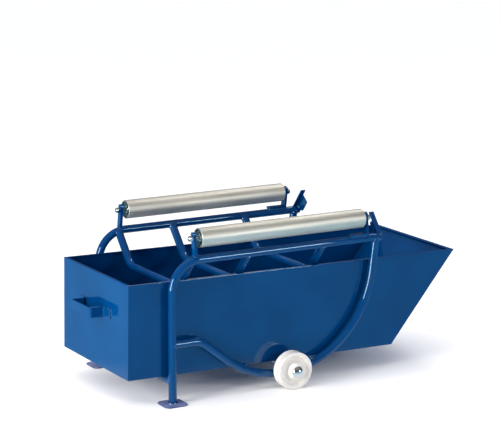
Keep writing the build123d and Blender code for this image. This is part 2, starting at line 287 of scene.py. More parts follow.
def plated(name, pale, warm, rough, scale=14.0, stretch=(1, 1, 1), metallic=1.0):
    finish = Finish(name)
    streaks = finish.noise(scale, detail=4.0, stretch=stretch)
    finish.colour(finish.ramp(streaks, (0.3, warm), (0.6, pale)))
    grain = finish.noise(scale=90.0, detail=3.0, stretch=stretch)
    finish.roughness(finish.spread(grain, *rough))
    finish.bump(finish.noise(scale=700.0, stretch=stretch), height=0.00002, strength=0.3)
    finish.set(Metallic=metallic)
    return finish.material


def moulded(name, main, shade, rough):
    finish = Finish(name)
    finish.colour(finish.ramp(finish.noise(scale=18.0, detail=3.0), (0.3, shade), (0.62, main)))
    finish.roughness(finish.spread(finish.noise(scale=120.0), *rough))
    finish.bump(finish.noise(scale=500.0), height=0.00003, strength=0.2)
    return finish.material


roller_zinc = plated(
    "roller_zinc", (0.75, 0.72, 0.64), (0.61, 0.58, 0.50), rough=(0.50, 0.60),
    scale=110.0, stretch=ZINC_STRETCH, metallic=0.9,
)
bright_steel = plated("bright_steel", (0.76, 0.77, 0.77), (0.66, 0.65, 0.60), rough=(0.14, 0.26))
dark_steel = plated("dark_steel", (0.27, 0.31, 0.30), (0.15, 0.18, 0.17), rough=(0.2, 0.34))
chrome = plated("chrome", (0.80, 0.81, 0.82), (0.74, 0.75, 0.77), rough=(0.03, 0.07))
white_nylon = moulded(
    "white_nylon", from_screen(241, 236, 226), from_screen(236, 230, 219), rough=(0.32, 0.44),
)
black_plastic = moulded(
    "black_plastic", from_screen(26, 26, 28), from_screen(18, 18, 20), rough=(0.4, 0.55),
)
print("finishes", len(bpy.data.materials))

# %% [markdown]
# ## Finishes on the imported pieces
# Tubes, axles, washers and the tray's floor already have their true form. They could be modelled again, but
# nothing would be gained, so they keep their meshes and only get a finish. The record's slot name says which
# one, and a piece that is made anew further down takes its finish from the same table.

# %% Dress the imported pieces
FINISH_OF_SLOT = {
    "frame_enamel": frame_enamel,
    "tray_enamel": tray_enamel,
    "roller_zinc": roller_zinc,
    "bright_steel": bright_steel,
    "dark_steel": dark_steel,
    "chrome": chrome,
    "white_nylon": white_nylon,
    "black_plastic": black_plastic,
}
slot_of_node = {entry["node"]: entry["material_slot"] for entry in frame["record"]["subparts"]}
body_of_node = {
    node: body for body, members in frame["record"]["behaviour"]["bodies"].items() for node in members
}
for name, piece in nodes.items():
    piece.data.materials.clear()
    piece.data.materials.append(FINISH_OF_SLOT[slot_of_node[name]])
print("dressed", len(slot_of_node), "nodes with", len(FINISH_OF_SLOT), "finishes")

# %% [markdown]
# ## New pieces
# Some pieces show more than the imported mesh has, and weld beads aren't in it at all. Blender's operators
# could make them, but those depend on what is selected, so the lesson edits meshes with bmesh, which
# doesn't. One function finishes every new piece: it turns the faces outwards, smooths the shading across
# gentle angles, lets the piece ride on its body, and hides the imported nodes that it takes the place of.

# %% Piece helpers
SMOOTH_ANGLE = radians(32)


def middle(node):
    low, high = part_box(node)
    return (low + high) / 2


def extent(node):
    low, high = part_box(node)
    return high - low


def finish_piece(name, work, stands_for, finish=None, body=None, slot=None, smooth=SMOOTH_ANGLE):
    """Makes a piece from an edited mesh and joins it to the frame."""
    bmesh.ops.recalc_face_normals(work, faces=work.faces)
    mesh = bpy.data.meshes.new(name)
    work.to_mesh(mesh)
    work.free()
    mesh.shade_smooth()
    mesh.set_sharp_from_angle(angle=smooth)
    piece = bpy.data.objects.new(name, mesh)
    bpy.context.scene.collection.objects.link(piece)
    slot = slot or slot_of_node[stands_for[0]]
    mesh.materials.append(finish or FINISH_OF_SLOT[slot])
    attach(piece, body or body_of_node[stands_for[0]])
    if stands_for:
        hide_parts(*stands_for)


print("tray floor is", [round(v, 3) for v in extent("tray_floor")])

# %% [markdown]
# ## Broken edges
# Flat bar and sheet never have knife edges: a grinder or the paint rounds them, and that narrow band
# catches the light. A bevel modifier could do it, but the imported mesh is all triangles, so a copy is first
# welded together and its flat faces are joined, and then each sharp edge is bevelled.

# %% Break the edges of plates, bars and sheets
OUTWARD = {"near": Vector((0, -1, 0)), "far": Vector((0, 1, 0))}
MERGE_REACH = 0.000002
FLUSH_ANGLE = radians(0.5)
SHARP_ANGLE = radians(35)
FLAT_ANGLE = radians(15)
BREAK_STEPS = 2
HANDLE_BREAK = 0.0008
SHEET_BREAK = 0.0005
SIDE_BREAKS = {
    "foot_plate": 0.0012,
    "front_lug": 0.0009,
    "rear_lug": 0.0009,
    "drum_stop": 0.0009,
}


def broken_edges(node, width, finish=None):
    work = bmesh.new()
    work.from_mesh(nodes[node].data)
    bmesh.ops.remove_doubles(work, verts=work.verts, dist=MERGE_REACH)
    bmesh.ops.dissolve_limit(work, angle_limit=FLUSH_ANGLE, verts=work.verts, edges=work.edges)
    sharp = [e for e in work.edges if len(e.link_faces) == 2 and e.calc_face_angle() > SHARP_ANGLE]
    bmesh.ops.bevel(
        work, geom=sharp, offset=width, offset_type="OFFSET", segments=BREAK_STEPS, profile=0.5,
        affect="EDGES", clamp_overlap=True,
    )
    finish_piece(f"{node}_painted", work, [node], finish, smooth=FLAT_ANGLE)


breaks = {f"{side}_{kind}": width for kind, width in SIDE_BREAKS.items() for side in OUTWARD}
breaks["tray_handle"] = HANDLE_BREAK
for kind in ("front", "rear", "near", "far"):
    breaks[f"tray_{kind}_wall"] = SHEET_BREAK
# The foot plates get the enamel that is painted paler on top, for dust and a painted sheen.
for node, width in breaks.items():
    broken_edges(node, width, dust_and_sheen_enamel if node.endswith("foot_plate") else None)
print("edges broken on", len(breaks), "pieces")

# %% [markdown]
# ## Turned pieces
# Wheels, caps, bearings and nuts are all round, so they are turned: an outline of radius and height goes
# round an axis. Corners of the outline are rounded first, as a lathe tool or a mould would leave them.
# Blender's screw modifier turns an outline too, but a function also takes one that changes with the angle,
# and so the same turning makes a hexagon. Sizes of turned pieces are in millimetres, all others in metres.

# %% Turning helpers
TURN_STEPS = 96
CORNER_STEPS = 5
MM = 0.001


def rounded(corners):
    """A closed outline in metres from (radius, along, rounding) corners in millimetres."""
    outline = []
    for i, (radius, along, size) in enumerate(corners):
        here = Vector((radius, along))
        if not size:
            outline.append(here * MM)
            continue
        to_last = (Vector(corners[i - 1][:2]) - here).normalized()
        to_next = (Vector(corners[(i + 1) % len(corners)][:2]) - here).normalized()
        half = to_last.angle(to_next) / 2
        centre = here + (to_last + to_next).normalized() * size / sin(half)
        start = here + to_last * size / tan(half) - centre
        end = here + to_next * size / tan(half) - centre
        for k in range(CORNER_STEPS + 1):
            outline.append((centre + start.lerp(end, k / CORNER_STEPS).normalized() * size) * MM)
    return outline


def turn(work, outline, centre, axis, steps=TURN_STEPS):
    """Adds a body turned about an axis; the outline may also be a function of the angle."""
    across = axis.orthogonal().normalized()
    upright = axis.cross(across)
    rings = []
    for step in range(steps):
        angle = 2 * pi * step / steps
        out = across * cos(angle) + upright * sin(angle)
        points = outline(angle) if callable(outline) else outline
        rings.append([work.verts.new(centre + axis * along + out * radius) for radius, along in points])
    for ring, following in zip(rings, rings[1:] + rings[:1]):
        for i in range(len(ring)):
            work.faces.new((ring[i - 1], ring[i], following[i], following[i - 1]))
    bmesh.ops.remove_doubles(work, verts=work.verts, dist=MERGE_REACH)


print("a turned piece has", TURN_STEPS, "steps and a rounded corner", CORNER_STEPS + 1, "points")

# %% [markdown]
# ## Wheels
# Each wheel is one polyamide moulding: a flat tread with a fine parting line, a dished web and a hub that
# stands out on the outer side. It could be put together from rings, but a single turned outline holds the
# dish, the roundings and the parting line in one skin, as the mould does.

# %% Wheels
WHEEL_WIDTH, HUB_OUT, WEB = 40.0, 12.0, 18.0
BORE_RADIUS, HUB_RADIUS, HUB_FOOT, RIM_FOOT, RIM_INSIDE = 10.1, 23.0, 29.0, 46.0, 51.0
BORE_ROUND, TREAD_ROUND = 0.5, 1.5
HUB_ROUND_IN, WEB_ROUND_IN, RIM_ROUND_IN = 1.0, 4.0, 2.0
HUB_ROUND_OUT, WEB_ROUND_OUT, RIM_ROUND_OUT = 2.0, 6.0, 4.0
PARTING_HALF, PARTING_DEPTH = 0.4, 0.25
wheel_radius = extent("near_wheel").z / 2 / MM
hub_face = WHEEL_WIDTH + HUB_OUT
web_low, web_high = (WHEEL_WIDTH - WEB) / 2, (WHEEL_WIDTH + WEB) / 2
parting = WHEEL_WIDTH / 2
wheel_outline = rounded([
    (BORE_RADIUS, 0, BORE_ROUND),
    (HUB_RADIUS, 0, HUB_ROUND_IN),
    (HUB_FOOT, web_low, WEB_ROUND_IN),
    (RIM_FOOT, web_low, WEB_ROUND_IN),
    (RIM_INSIDE, 0, RIM_ROUND_IN),
    (wheel_radius, 0, TREAD_ROUND),
    (wheel_radius, parting - PARTING_HALF, 0),
    (wheel_radius - PARTING_DEPTH, parting, 0),
    (wheel_radius, parting + PARTING_HALF, 0),
    (wheel_radius, WHEEL_WIDTH, TREAD_ROUND),
    (RIM_INSIDE, WHEEL_WIDTH, RIM_ROUND_OUT),
    (RIM_FOOT, web_high, WEB_ROUND_OUT),
    (HUB_FOOT, web_high, WEB_ROUND_OUT),
    (HUB_RADIUS, hub_face, HUB_ROUND_OUT),
    (BORE_RADIUS, hub_face, BORE_ROUND),
])
for side, outward in OUTWARD.items():
    inner_face = middle(f"{side}_wheel") - outward * hub_face / 2 * MM
    work = bmesh.new()
    turn(work, wheel_outline, inner_face, outward)
    finish_piece(f"{side}_wheel_moulding", work, [f"{side}_wheel"])
print("wheel radius", round(wheel_radius, 1), "mm, outline of", len(wheel_outline), "points")

# %% [markdown]
# ## Axle caps
# A chromed dome with a flat ring at its foot is pushed on each end of the axle and holds the wheel. A cut
# sphere would do for the dome, but the cap is thin sheet with a ring, so it is turned like the wheel, with
# points up the outside of the dome and down its inside.

# %% Axle caps
CAP_RADIUS, CAP_HEIGHT, CAP_RING, CAP_SHEET = 19.5, 13.0, 2.0, 1.5
CAP_STEP, CAP_ROUND = 0.8, 0.6
DOME_STEPS = 12


def dome(foot_radius, height, base):
    """Corners up a spherical dome, from its foot to its top."""
    ball = (foot_radius**2 + height**2) / (2 * height)
    opening = atan2(foot_radius, ball - height)
    angles = [opening * (1 - k / DOME_STEPS) for k in range(DOME_STEPS + 1)]
    return [(ball * sin(a), base + height - ball + ball * cos(a), 0) for a in angles]


dome_foot, dome_height = CAP_RADIUS - CAP_STEP, CAP_HEIGHT - CAP_RING
cap_outline = rounded([
    (BORE_RADIUS, 0, 0),
    (CAP_RADIUS, 0, CAP_ROUND),
    (CAP_RADIUS, CAP_RING, CAP_ROUND),
    *dome(dome_foot, dome_height, CAP_RING),
    *reversed(dome(dome_foot - CAP_SHEET, dome_height - CAP_SHEET, CAP_RING)),
    (BORE_RADIUS, CAP_RING, 0),
])
cap_foot = extent("axle_caps").y / 2 - CAP_HEIGHT * MM
caps = bmesh.new()
for side, outward in OUTWARD.items():
    wheel = middle(f"{side}_wheel")
    turn(caps, cap_outline, Vector((wheel.x, 0, wheel.z)) + outward * cap_foot, outward)
finish_piece("axle_domes", caps, ["axle_caps"])
print("axle caps", 2 * CAP_RADIUS, "mm across and", CAP_HEIGHT, "mm high")

# %% [markdown]
# ## Roller tubes
# A roller is a plated tube whose ends are rolled in a little, so that they have a soft bright rim. A bevel
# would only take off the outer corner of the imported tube, so the tube is turned again together with its
# rims.

# %% Roller tubes
ALONG, UPRIGHT = Vector((1, 0, 0)), Vector((0, 0, 1))
ROLL_WALL, ROLL_RIM = 2.0, 2.5


def on_axis(node, x):
    """The point at x on the line that runs along the cradle through the middle of a node."""
    centre = middle(node)
    return Vector((x, centre.y, centre.z))


for side in OUTWARD:
    node = f"{side}_roller_tube"
    low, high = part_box(node)
    length, outer = (high.x - low.x) / MM, (high.z - low.z) / 2 / MM
    inner, rim = outer - ROLL_WALL, outer - ROLL_RIM
    tube_outline = rounded([
        (rim, 0, 0),
        (outer, 0, ROLL_RIM),
        (outer, length, ROLL_RIM),
        (rim, length, 0),
        (rim, length - ROLL_WALL, 0),
        (inner, length - ROLL_WALL, ROLL_RIM - ROLL_WALL),
        (inner, ROLL_WALL, ROLL_RIM - ROLL_WALL),
        (rim, ROLL_WALL, 0),
    ])
    work = bmesh.new()
    turn(work, tube_outline, on_axis(node, low.x), ALONG)
    finish_piece(f"{node}_rolled", work, [node])
print("roller", round(length), "mm long and", round(2 * outer, 1), "mm across")

# %% [markdown]
# ## Roller ends
# A pressed steel cup behind each rim holds a ball bearing. The cup dishes in and then rises to a collar
# round the bearing, whose two races stand a little proud of its shield. A bump in the material could hint
# at these steps, but they are deep enough to cast shade, so they are turned as shapes.

# %% Roller housings and bearings
HOUSING_RADIUS, HOUSING_DEPTH, HOUSING_EDGE = 29.75, 16.0, 0.5
BEARING_RADIUS, BEARING_WIDTH, BEARING_BORE = 14.0, 8.0, 6.05
SEAT_DEPTH, SEAT_LEDGE = 11.0, 4.0
COLLAR_WIDTH, COLLAR_DEPTH = 2.6, 0.6
DISH_DEPTH, DISH_FROM_BEARING, DISH_FROM_EDGE, CREST_FROM_EDGE = 4.2, 4.4, 4.5, 2.4
INNER_RACE, OUTER_RACE, SHIELD_DEPTH = 2.4, 1.9, 0.7
EDGE_ROUND, SEAT_ROUND, CREST_ROUND, DISH_ROUND = 2.0, 0.5, 0.8, 1.5
BEARING_ROUND, BEARING_BORE_ROUND, RACE_ROUND = 0.5, 0.4, 0.3
housing_outline = rounded([
    (HOUSING_RADIUS, -HOUSING_EDGE, EDGE_ROUND),
    (HOUSING_RADIUS, -HOUSING_DEPTH, 0),
    (BEARING_RADIUS - SEAT_LEDGE, -HOUSING_DEPTH, 0),
    (BEARING_RADIUS - SEAT_LEDGE, -SEAT_DEPTH, 0),
    (BEARING_RADIUS, -SEAT_DEPTH, 0),
    (BEARING_RADIUS, -COLLAR_DEPTH, SEAT_ROUND),
    (BEARING_RADIUS + COLLAR_WIDTH, -COLLAR_DEPTH, CREST_ROUND),
    (BEARING_RADIUS + DISH_FROM_BEARING, -DISH_DEPTH, DISH_ROUND),
    (HOUSING_RADIUS - DISH_FROM_EDGE, -DISH_DEPTH, DISH_ROUND),
    (HOUSING_RADIUS - CREST_FROM_EDGE, 0, CREST_ROUND),
])
bearing_outline = rounded([
    (BEARING_RADIUS, 0, BEARING_ROUND),
    (BEARING_RADIUS, -BEARING_WIDTH, BEARING_ROUND),
    (BEARING_BORE, -BEARING_WIDTH, BEARING_BORE_ROUND),
    (BEARING_BORE, 0, BEARING_BORE_ROUND),
    (BEARING_BORE + INNER_RACE, 0, RACE_ROUND),
    (BEARING_BORE + INNER_RACE, -SHIELD_DEPTH, 0),
    (BEARING_RADIUS - OUTER_RACE, -SHIELD_DEPTH, 0),
    (BEARING_RADIUS - OUTER_RACE, 0, RACE_ROUND),
])
for side in OUTWARD:
    for kind, outline in (("housings", housing_outline), ("bearings", bearing_outline)):
        node = f"{side}_roller_{kind}"
        low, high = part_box(node)
        work = bmesh.new()
        for x, out in ((low.x, -ALONG), (high.x, ALONG)):
            turn(work, outline, on_axis(node, x), out)
        finish_piece(f"{node}_turned", work, [node])
print("roller ends dressed, housing outline of", len(housing_outline), "points")

# %% [markdown]
# ## Nuts
# A lock nut inside each lug and a cap nut outside it hold the roller's axle. The corners of a hexagon nut
# are cut back by a cone on both faces, which gives the curved lines that a plain prism lacks. A boolean cut
# with a cone would do it, but here each point of the outline lies on the flat or on the cone, whichever
# is nearer to the axis.

# %% Nut outlines
NUT_ACROSS, NUT_THICK, NUT_BORE = 18.0, 10.0, 6.1
NUT_FACE = 0.95
NUT_CONE = radians(60)
SIXTH_TURN = pi / 3
CHAMFER_HEIGHTS = (0, 0.35, 0.7, 1.1)
NUT_HEIGHTS = (*CHAMFER_HEIGHTS, *(NUT_THICK - h for h in reversed(CHAMFER_HEIGHTS)))
CAP_NUT_RADIUS, CAP_NUT_TOP = 8.5, 6.0
CAP_NUT_BULGE, CAP_NUT_STEPS = 2.3, 10
CAP_NUT_FLOOR = NUT_THICK - 0.2


def hexagon(angle):
    """Radius and height along the side of a chamfered hexagon nut."""
    flat = NUT_ACROSS / 2
    side_radius = flat / cos(angle % SIXTH_TURN - SIXTH_TURN / 2)
    cone = [flat * NUT_FACE + min(h, NUT_THICK - h) * tan(NUT_CONE) for h in NUT_HEIGHTS]
    return [(min(side_radius, limit), h) for limit, h in zip(cone, NUT_HEIGHTS)]


def lock_nut(angle):
    points = [(NUT_BORE, 0), *hexagon(angle), (NUT_BORE, NUT_THICK)]
    return [(r * MM, h * MM) for r, h in points]


def cap_nut(angle):
    """A nut with a domed top, fuller than a ball, over a closed bore."""
    steps = [sin(pi / 2 * k / CAP_NUT_STEPS) for k in range(CAP_NUT_STEPS + 1)]
    widths = [(1 - s**CAP_NUT_BULGE) ** (1 / CAP_NUT_BULGE) for s in steps]
    top = [(CAP_NUT_RADIUS * w, NUT_THICK + CAP_NUT_TOP * s) for w, s in zip(widths, steps)]
    points = [(NUT_BORE, 0), *hexagon(angle), *top, (0, CAP_NUT_FLOOR), (NUT_BORE, CAP_NUT_FLOOR)]
    return [(r * MM, h * MM) for r, h in points]


print("lock nut outline of", len(lock_nut(0)), "points, cap nut outline of", len(cap_nut(0)))

# %% [markdown]
# ## Nuts on the axles
# Lock nuts start at the outer ends of their node's box and run inwards. Cap nuts start at the lugs and run
# outwards. Every axle has one of each at both ends, so loops place them all.

# %% Lock nuts and cap nuts
NUT_STEPS = 72
NUT_KINDS = {
    "roller_lock_nuts": (lock_nut, 0.0, ALONG),
    "roller_cap_nuts": (cap_nut, (NUT_THICK + CAP_NUT_TOP) * MM, -ALONG),
}
for node, (outline, inset, way) in NUT_KINDS.items():
    low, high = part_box(node)
    work = bmesh.new()
    for side in OUTWARD:
        for x, out in ((low.x + inset, way), (high.x - inset, -way)):
            turn(work, outline, on_axis(f"{side}_roller_axle", x), out, NUT_STEPS)
    finish_piece(f"{node}_turned", work, [node])
print("nuts across flats", NUT_ACROSS, "mm")

# %% [markdown]
# ## Rail plugs
# Moulded plugs close the open rear ends of both rails. A flat disc would look like a cut end, but their
# heads are slightly domed and rounded at the edge, so they are turned as well.

# %% Rail plugs
PLUG_HEAD, PLUG_STEM, PLUG_INSET = 1.5, 12.0, 2.6
PLUG_CROWN, PLUG_CROWN_WIDTH = 0.5, 3.0
STEM_ROUND, HEAD_FOOT_ROUND, HEAD_ROUND = 1.0, 0.2, 0.4
tube_radius = extent("near_side_tube").y / 2
plug_radius = tube_radius / MM
plug_outline = rounded([
    (0, -PLUG_STEM, 0),
    (plug_radius - PLUG_INSET, -PLUG_STEM, STEM_ROUND),
    (plug_radius - PLUG_INSET, 0, 0),
    (plug_radius, 0, HEAD_FOOT_ROUND),
    (plug_radius, PLUG_HEAD - PLUG_CROWN, HEAD_ROUND),
    (plug_radius - PLUG_CROWN_WIDTH, PLUG_HEAD, 0),
    (0, PLUG_HEAD, 0),
])
rail_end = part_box("rail_end_caps")[1].x - PLUG_HEAD * MM
rail_z = middle("rail_end_caps").z
frame_y = -middle("near_side_tube").y
plugs = bmesh.new()
for outward in OUTWARD.values():
    turn(plugs, plug_outline, Vector((rail_end, outward.y * frame_y, rail_z)), ALONG)
finish_piece("rail_plugs", plugs, ["rail_end_caps"])
print("rail centre at", round(rail_z, 4), "m, rails", round(2 * frame_y, 3), "m apart")

# %% [markdown]
# ## Weld beads
# A weld bead is a rope of metal with a ripple from the steps in which it was laid. A curve with a round
# bevel would give the rope, but not the ripple, so each bead is a row of rings that swell and shrink along
# a path. Where a bead has ends, it tapers there.

# %% Bead helpers
BEAD_RADIUS = 0.0024
BEAD_SIDES = 8
BEAD_TURNS = [2 * pi * k / BEAD_SIDES for k in range(BEAD_SIDES)]
RIPPLE, RIPPLE_PITCH = 0.13, 0.0045
PATH_PITCH = RIPPLE_PITCH / 4
END_BLUNT, END_TAPER = 0.1, 1.5


def lay_bead(work, path, lean, radius=BEAD_RADIUS, closed=True):
    """Adds a rippled bead along a path; lean is a direction that the path doesn't follow."""
    steps = [(b - a).length for a, b in zip(path, path[1:])]
    total = sum(steps)
    travelled = 0.0
    rings = []
    for i, point in enumerate(path):
        before = path[i - 1] if closed or i else point
        after = path[(i + 1) % len(path)] if closed or i + 1 < len(path) else point
        along = (after - before).normalized()
        side = (lean - along * lean.dot(along)).normalized()
        other = along.cross(side)
        swell = radius * (1 + RIPPLE * sin(2 * pi * travelled / RIPPLE_PITCH))
        if not closed:
            from_end = min(travelled, total - travelled)
            swell *= sqrt(min(1.0, (from_end + END_BLUNT * radius) / (END_TAPER * radius)))
        rings.append([work.verts.new(point + (side * cos(t) + other * sin(t)) * swell) for t in BEAD_TURNS])
        travelled += steps[i] if i < len(steps) else 0.0
    pairs = list(zip(rings, rings[1:]))
    if closed:
        pairs.append((rings[-1], rings[0]))
    else:
        work.faces.new(rings[0])
        work.faces.new(rings[-1])
    for ring, following in pairs:
        for k in range(BEAD_SIDES):
            work.faces.new((ring[k - 1], ring[k], following[k], following[k - 1]))


def straight(start, end, pitch=PATH_PITCH):
    count = round((end - start).length / pitch)
    return [start.lerp(end, k / count) for k in range(count + 1)]


def arc(centre, first, second, radius, start, end):
    """Points on an arc in the plane of two directions, at angles from the first one."""
    count = round(radius * abs(end - start) / PATH_PITCH)
    angles = [start + (end - start) * k / count for k in range(count + 1)]
    return [centre + (first * cos(a) + second * sin(a)) * radius for a in angles]


print("a bead ring has", BEAD_SIDES, "sides, and rings lie", round(PATH_PITCH / MM, 2), "mm apart")

# %% [markdown]
# ## The line where two tubes meet
# Every tube end is cut to the round of the tube that it meets and welded all the way round. A boolean cut
# would find the line of the joint, but with points at uneven steps. Here it is worked out: a ray along the
# branch tube's skin meets the main tube's skin where a quadratic is zero.

# %% Joint lines
JOINT_POINTS = 110


def joint_line(branch_at, branch, branch_radius, main_at, main, main_radius):
    """Points where the skin of a branch tube meets the skin of a main tube."""
    branch, main = branch.normalized(), main.normalized()
    first = branch.orthogonal().normalized()
    second = branch.cross(first)
    going = branch - main * branch.dot(main)
    line = []
    for k in range(JOINT_POINTS):
        angle = 2 * pi * k / JOINT_POINTS
        start = branch_at + (first * cos(angle) + second * sin(angle)) * branch_radius
        offset = start - main_at
        offset = offset - main * offset.dot(main)
        half_b = offset.dot(going)
        under_root = half_b**2 - going.length_squared * (offset.length_squared - main_radius**2)
        if under_root >= 0:
            line.append(start + branch * (sqrt(under_root) - half_b) / going.length_squared)
    return line


print("a joint line has up to", JOINT_POINTS, "points")

# %% [markdown]
# ## Welds between tubes
# On each side frame the stub meets the leg and the rocker meets the rail, and the tray bars and the dipped
# cross tubes end at the tubes that carry them. Each joint could be modelled by itself, but a list of points
# and directions is enough for one loop. The legs stand on their foot plates, where the joint is a plain
# circle.

# %% Tube welds
STUB_Z = 0.1965
ROCKER_LEAN = radians(7.0)
ROCKER_TOP_X = 0.775
CROSS_DIP_Y, CROSS_DIP_Z = 0.170, 0.359
REAR_BAR_SLOPE = 0.344
FOOT_THICK = 0.005
leg_x = middle("near_foot_plate").x
front_bar, rear_bar = middle("front_tray_bar"), middle("rear_tray_bar")


def tube_joints(outward):
    """The joints of one side frame: a point, the branch tube's way and the main tube's way."""
    y = outward.y * frame_y
    rocker_run = Vector((-sin(ROCKER_LEAN), 0, -cos(ROCKER_LEAN)))
    cross_fall = outward * (CROSS_DIP_Y - frame_y) + UPRIGHT * (CROSS_DIP_Z - rail_z)
    joints = [
        (Vector((leg_x, y, STUB_Z)), ALONG, UPRIGHT),
        (Vector((leg_x + ROCKER_TOP_X, y, rail_z)), rocker_run, ALONG),
        (Vector((leg_x, y, front_bar.z)), -outward, UPRIGHT),
        (Vector((rear_bar.x, y, rear_bar.z)), -outward, Vector((1, 0, REAR_BAR_SLOPE))),
    ]
    for place in ("front", "middle", "rear"):
        joints.append((Vector((middle(f"{place}_cross_tube").x, y, rail_z)), cross_fall, ALONG))
    return joints


frame_welds = bmesh.new()
for outward in OUTWARD.values():
    for point, branch, main in tube_joints(outward):
        line = joint_line(point, branch, tube_radius, point, main, tube_radius)
        lay_bead(frame_welds, line, branch)
    leg_foot = Vector((leg_x, outward.y * frame_y, FOOT_THICK))
    lay_bead(frame_welds, arc(leg_foot, ALONG, outward, tube_radius, 0, 2 * pi)[:-1], UPRIGHT)
print("tube welds laid, first leg at", round(leg_x, 4))

# %% [markdown]
# ## Welds of the axle, lugs and stops
# The wheel axle is let into the rockers and welded on both sides of each. Lugs and stops stand on the rails
# and are welded in arcs over the tube, and the rear lugs also along their edges. These beads are short, so
# they have ends, and the same helpers lay them.

# %% Axle, lug and stop welds
AXLE_RADIUS, ROCKER_BOTTOM = 0.010, 0.0474
LUG_BEAD_RADIUS = 0.0032
LUG_WELD_HALF, STOP_WELD_HALF = radians(48), radians(62)
LUG_SEAM_Y, LUG_SEAM_DROP = 0.0085, 0.0032
STOP_THICK = 0.004
axle = middle("near_wheel")
front_low, front_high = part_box("near_front_lug")
rear_low, rear_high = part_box("near_rear_lug")
stop_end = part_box("near_drum_stop")[1].x
rail_arcs = [(x, LUG_WELD_HALF) for x in (front_low.x, front_high.x, rear_low.x, rear_high.x)]
rail_arcs += [(x, STOP_WELD_HALF) for x in (stop_end - STOP_THICK, stop_end)]
for outward in OUTWARD.values():
    y = outward.y * frame_y
    on_axle, on_rocker = Vector((axle.x, y, axle.z)), Vector((axle.x, y, ROCKER_BOTTOM))
    for way in (outward, -outward):
        line = joint_line(on_axle, way, AXLE_RADIUS, on_rocker, ALONG, tube_radius)
        lay_bead(frame_welds, line, way, closed=False)
    for x, half_angle in rail_arcs:
        line = arc(Vector((x, y, rail_z)), UPRIGHT, outward, tube_radius, -half_angle, half_angle)
        lay_bead(frame_welds, line, ALONG, LUG_BEAD_RADIUS, closed=False)
    for way in (-1, 1):
        start = Vector((rear_low.x, y + way * LUG_SEAM_Y, rail_z + tube_radius - LUG_SEAM_DROP))
        line = straight(start, start + ALONG * (rear_high.x - rear_low.x))
        lay_bead(frame_welds, line, UPRIGHT, LUG_BEAD_RADIUS, closed=False)
finish_piece("frame_welds", frame_welds, [], weld_enamel, body="frame", slot="frame_enamel")
print("arcs over each rail", len(rail_arcs))

# %% [markdown]
# ## Seams inside the tray
# The tray is made of sheets that are welded inside along every corner, so that it holds liquid. It lies
# with a slight fall. Its seams could be laid level and turned afterwards, but it is simpler to work out
# their ends in the tray's own level frame and tilt those.

# %% Tray seams
TRAY_TILT = radians(0.93)
TRAY_BOTTOM, TRAY_HEIGHT, SHEET = 0.0896, 0.310, 0.002
TRAY_FRONT, TRAY_REAR_FOOT, TRAY_REAR_TOP = -0.147, 0.8625, 1.1125
SEAM_RADIUS = 0.0017
SEAM_LEAN = Vector((0.3, 0.5, 0.8))


def on_tray(x, y, z):
    """A point of the level tray, measured from the legs and its floor, in the cradle's frame."""
    return Vector((
        leg_x + x * cos(TRAY_TILT) + z * sin(TRAY_TILT),
        y,
        TRAY_BOTTOM - x * sin(TRAY_TILT) + z * cos(TRAY_TILT),
    ))


tray_half = extent("tray_front_wall").y / 2
inside = tray_half - SHEET
front = TRAY_FRONT + SHEET
slope = (TRAY_REAR_TOP - TRAY_REAR_FOOT) / TRAY_HEIGHT
rear_foot = TRAY_REAR_FOOT - SHEET * sqrt(1 + slope**2) + SHEET * slope
rear_top = rear_foot + slope * (TRAY_HEIGHT - 3 * SHEET)
top = TRAY_HEIGHT - 2 * SHEET
seams = []
for y in (-inside, inside):
    seams.append((on_tray(front, y, SHEET), on_tray(front, y, top)))
    seams.append((on_tray(front, y, SHEET), on_tray(rear_foot, y, SHEET)))
    seams.append((on_tray(rear_foot, y, SHEET), on_tray(rear_top, y, top)))
for x in (front, rear_foot):
    seams.append((on_tray(x, -inside, SHEET), on_tray(x, inside, SHEET)))
tray_welds = bmesh.new()
for start, end in seams:
    lay_bead(tray_welds, straight(start, end), SEAM_LEAN, SEAM_RADIUS, closed=False)
print("tray seams", len(seams))

# %% [markdown]
# ## Handle welds and corner tacks
# Outside, only a few tacks show on the tray's front corners, and the feet of the handle are welded along
# their ends and for a short way along their edges. They could be left to a bump in the paint, but beads
# that stand out catch the light, so they are laid like the seams.

# %% Handle welds and corner tacks
HANDLE_HALF, HANDLE_FOOT, HANDLE_BAR, HANDLE_HEIGHT, HANDLE_Z = 0.071, 0.040, 0.004, 0.033, 0.191
HANDLE_TACK = (0.020, 0.032)
TACK_RADIUS, TACK_LENGTH, TACK_PITCH = 0.0016, 0.004, 0.0008
TACK_HEIGHTS = (0.302, 0.2, 0.1, 0.012)
foot_face = TRAY_FRONT - HANDLE_BAR / 2
handle_edges = (HANDLE_Z - HANDLE_HEIGHT / 2, HANDLE_Z + HANDLE_HEIGHT / 2)
for sign in (-1, 1):
    ends = [on_tray(foot_face, sign * (HANDLE_HALF + HANDLE_FOOT), z) for z in handle_edges]
    lay_bead(tray_welds, straight(*ends), ALONG, closed=False)
    for z in handle_edges:
        tack = [on_tray(foot_face, sign * (HANDLE_HALF + d), z) for d in HANDLE_TACK]
        lay_bead(tray_welds, straight(*tack), UPRIGHT, closed=False)
    for z in TACK_HEIGHTS:
        bottom = on_tray(TRAY_FRONT + SHEET / 2, sign * (tray_half - SHEET / 2), z - TACK_LENGTH / 2)
        line = straight(bottom, bottom + UPRIGHT * TACK_LENGTH, TACK_PITCH)
        lay_bead(tray_welds, line, ALONG, TACK_RADIUS, closed=False)
finish_piece("tray_welds", tray_welds, [], weld_enamel, body="tray", slot="tray_enamel")
print("tacks on each front corner", len(TACK_HEIGHTS))
